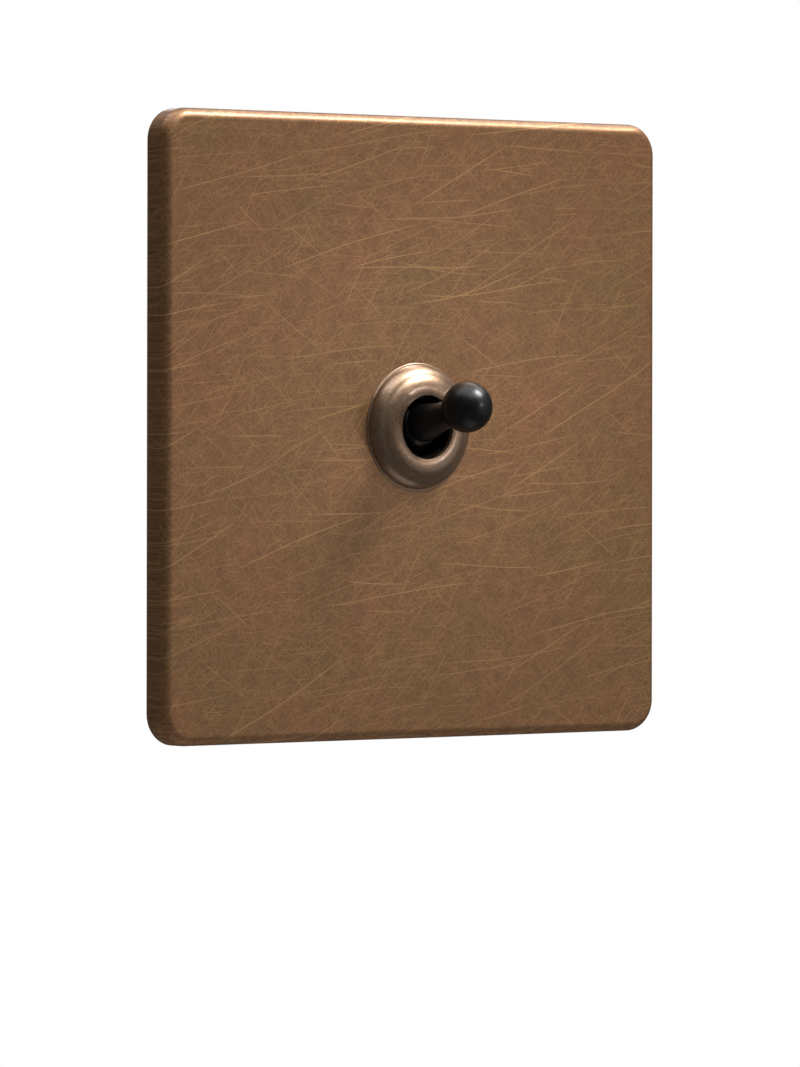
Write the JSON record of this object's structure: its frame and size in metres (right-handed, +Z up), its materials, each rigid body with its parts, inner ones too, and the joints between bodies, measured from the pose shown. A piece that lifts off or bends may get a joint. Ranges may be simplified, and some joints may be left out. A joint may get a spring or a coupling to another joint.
{
  "type": "toggle wall switch",
  "caption": "Square wall switch: an aged bronze front plate with a domed central collar and a black ball-ended toggle, with a changeover mechanism and rear clamp terminals.",
  "frame": {"origin": "the point where the switch's axis meets the wall: the centre of the two box screws' circle, on the plane that the plate's rim and the gasket rest on", "axes": "+X to the right seen from the room, +Z up the wall, +Y into the wall, so the plate faces -Y"},
  "size_m": [0.086, 0.0448, 0.086],
  "materials": {
    "aged_plate": "antique brown bronze, fine random scratches, clear lacquer",
    "aged_collar": "turned and aged to match the plate",
    "satin_black": "satin black",
    "blackened_brass": "blackened",
    "steel": "ground",
    "zinc_steel": "bright zinc plate",
    "zinc_yoke": "pressed steel, zinc plate",
    "screw_steel": "zinc plate",
    "screw_brass": "turned",
    "spring_steel": "drawn wire",
    "rivet_brass": "upset",
    "terminal_brass": "machined",
    "contact_brass": "rolled strip",
    "contact_silver": "silver alloy",
    "case_grey": "urea moulding",
    "case_black": "phenolic moulding",
    "shield_fibre": "fibre sheet",
    "nylon": "natural",
    "foam": "closed cell foam"
  },
  "bodies": {
    "switch_body": {"front_plate": "aged_plate", "collar": "aged_collar", "threaded_bush": "blackened_brass", "pivot_pin": "steel", "bush_nut": "zinc_steel", "lock_washer": "zinc_steel", "locating_ring": "zinc_steel", "yoke": "zinc_yoke", "wall_gasket": "foam", "box_screws": "screw_steel", "case_front": "case_grey", "case_rear": "case_black", "case_rivets": "rivet_brass", "arc_shields": "shield_fibre", "common_strip": "contact_brass", "lower_strip": "contact_brass", "upper_strip": "contact_brass", "fixed_contacts": "contact_silver", "terminal_common": "terminal_brass", "terminal_lower": "terminal_brass", "terminal_upper": "terminal_brass", "terminal_earth": "terminal_brass"},
    "lever": {"toggle_lever": "satin_black", "plunger_spring": "spring_steel"},
    "plunger_body": {"plunger": "nylon"},
    "rocker": {"rocker_arm": "contact_brass", "rocker_contacts": "contact_silver"},
    "common_screw": {"clamp_screw_common": "screw_steel"},
    "lower_screw": {"clamp_screw_lower": "screw_steel"},
    "upper_screw": {"clamp_screw_upper": "screw_steel"},
    "earth_screw": {"clamp_screw_earth": "screw_brass"}
  },
  "joints": [
    {"name": "lever_tilt", "type": "hinge", "parent": "switch_body", "child": "lever", "pos_m": [0, -0.0029, 0], "axis": [1, 0, 0], "range_deg": [0, 26]},
    {"name": "rocker_tilt", "type": "hinge", "parent": "switch_body", "child": "rocker", "pos_m": [0, 0.01115, 0], "axis": [1, 0, 0], "range_deg": [-16, 0]},
    {"name": "plunger_slide", "type": "slide", "parent": "lever", "child": "plunger_body", "axis": [0, -0.9744, 0.225], "range_m": [0, 0.0008], "stiffness_N_per_m": 400, "springref_m": -0.002, "deforming": ["plunger_spring"]},
    {"name": "common_clamp", "type": "slide", "parent": "switch_body", "child": "common_screw", "axis": [0, -1, 0], "range_m": [0, 0.0026]},
    {"name": "lower_clamp", "type": "slide", "parent": "switch_body", "child": "lower_screw", "axis": [0, -1, 0], "range_m": [0, 0.0026]},
    {"name": "upper_clamp", "type": "slide", "parent": "switch_body", "child": "upper_screw", "axis": [0, -1, 0], "range_m": [0, 0.0026]},
    {"name": "earth_clamp", "type": "slide", "parent": "switch_body", "child": "earth_screw", "axis": [0, -1, 0], "range_m": [0, 0.0026]}
  ],
  "couplings": [
    {"joint": "rocker_tilt", "follows": "lever_tilt", "ratio": -0.61538}
  ]
}
